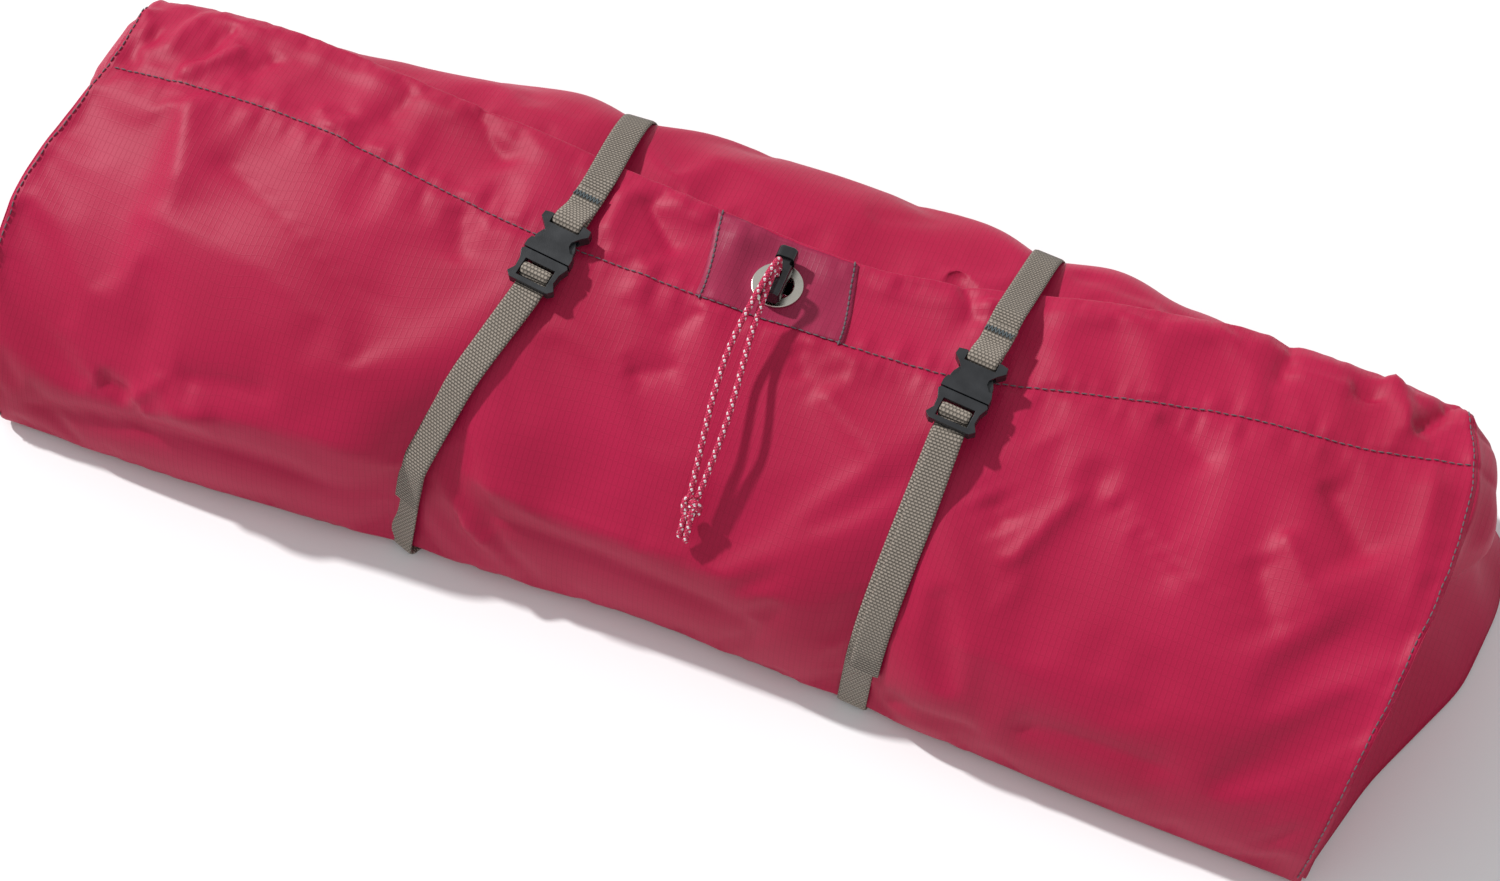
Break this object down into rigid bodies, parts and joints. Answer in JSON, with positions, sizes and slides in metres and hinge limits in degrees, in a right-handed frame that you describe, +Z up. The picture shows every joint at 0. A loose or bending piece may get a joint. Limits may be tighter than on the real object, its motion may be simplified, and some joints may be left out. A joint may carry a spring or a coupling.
{
  "type": "stuff sack with compression straps",
  "caption": "Long soft stuff sack with a drawcord mouth along one side, a sprung cord lock and buckled compression straps.",
  "frame": {"origin": "on the floor, under the middle of the sack's box", "axes": "+X along the sack, +Y towards its back, +Z up"},
  "size_m": [0.625, 0.1982, 0.1148],
  "materials": {
    "nylon": "coated ripstop, soft sheen",
    "patch_nylon": "coated, stiffened",
    "nickel": "nickel plated, polished",
    "cord": "braided, with pale tracer",
    "lock_plastic": "moulded",
    "spring_steel": "plain",
    "webbing": "woven",
    "thread": "sewn",
    "buckle_plastic": "moulded, satin"
  },
  "bodies": {
    "sack": {"front_panel": "nylon", "back_panel": "nylon", "base_panel": "nylon", "left_end_panel": "nylon", "right_end_panel": "nylon", "front_hem": "nylon", "back_hem": "nylon", "grommet_patch": "patch_nylon", "grommet_eyelet": "nickel", "grommet_washer": "nickel", "channel_cord": "cord", "cord_neck_left": "cord", "cord_neck_right": "cord", "cord_knot": "cord", "left_upper_webbing": "webbing", "left_lower_webbing": "webbing", "left_webbing_tail": "webbing", "left_bartack": "thread", "left_buckle_socket": "buckle_plastic", "right_upper_webbing": "webbing", "right_lower_webbing": "webbing", "right_webbing_tail": "webbing", "right_bartack": "thread", "right_buckle_socket": "buckle_plastic"},
    "cord_lock": {"lock_barrel": "lock_plastic", "lock_spring": "spring_steel", "cord_strand_left": "cord", "cord_strand_right": "cord"},
    "lock_plunger": {"lock_plunger": "lock_plastic"},
    "left_plug": {"left_buckle_plug": "buckle_plastic", "left_webbing_loop": "webbing"},
    "left_inner_arm": {"left_inner_arm": "buckle_plastic"},
    "left_outer_arm": {"left_outer_arm": "buckle_plastic"},
    "right_plug": {"right_buckle_plug": "buckle_plastic", "right_webbing_loop": "webbing"},
    "right_inner_arm": {"right_inner_arm": "buckle_plastic"},
    "right_outer_arm": {"right_outer_arm": "buckle_plastic"}
  },
  "joints": [
    {"name": "lock_slide", "type": "slide", "parent": "sack", "child": "cord_lock", "axis": [0, 0.0353, 0.9994], "range_m": [0, 0.012], "deforming": ["cord_strand_left", "cord_strand_right", "cord_neck_left", "cord_neck_right"]},
    {"name": "lock_press", "type": "slide", "parent": "cord_lock", "child": "lock_plunger", "axis": [0, -0.9994, 0.0353], "range_m": [0, 0.0026], "stiffness_N_per_m": 800, "springref_m": -0.002, "deforming": ["lock_spring"]},
    {"name": "left_buckle_release", "type": "slide", "parent": "sack", "child": "left_plug", "axis": [-0.1392, -0.9883, -0.0625], "range_m": [0, 0.018], "deforming": ["left_inner_arm", "left_outer_arm", "left_lower_webbing", "left_webbing_tail"]},
    {"name": "left_inner_press", "type": "hinge", "parent": "left_plug", "child": "left_inner_arm", "pos_m": [-0.07212, 0.00296, 0.10332], "axis": [0, -0.0631, 0.998], "range_deg": [0, 12], "stiffness_Nm_per_rad": 0.15, "springref_deg": -1.72},
    {"name": "left_outer_press", "type": "hinge", "parent": "left_plug", "child": "left_outer_arm", "pos_m": [-0.0836, 0.00458, 0.10342], "axis": [0, 0.0631, -0.998], "range_deg": [0, 12], "stiffness_Nm_per_rad": 0.15, "springref_deg": -1.72},
    {"name": "right_buckle_release", "type": "slide", "parent": "sack", "child": "right_plug", "axis": [-0.1045, -0.9926, -0.0615], "range_m": [0, 0.018], "deforming": ["right_inner_arm", "right_outer_arm", "right_lower_webbing", "right_webbing_tail"]},
    {"name": "right_inner_press", "type": "hinge", "parent": "right_plug", "child": "right_inner_arm", "pos_m": [0.09146, 0.00437, 0.10342], "axis": [0, 0.0618, -0.9981], "range_deg": [0, 12], "stiffness_Nm_per_rad": 0.15, "springref_deg": -1.72},
    {"name": "right_outer_press", "type": "hinge", "parent": "right_plug", "child": "right_outer_arm", "pos_m": [0.103, 0.00316, 0.10334], "axis": [0, -0.0618, 0.9981], "range_deg": [0, 12], "stiffness_Nm_per_rad": 0.15, "springref_deg": -1.72}
  ]
}
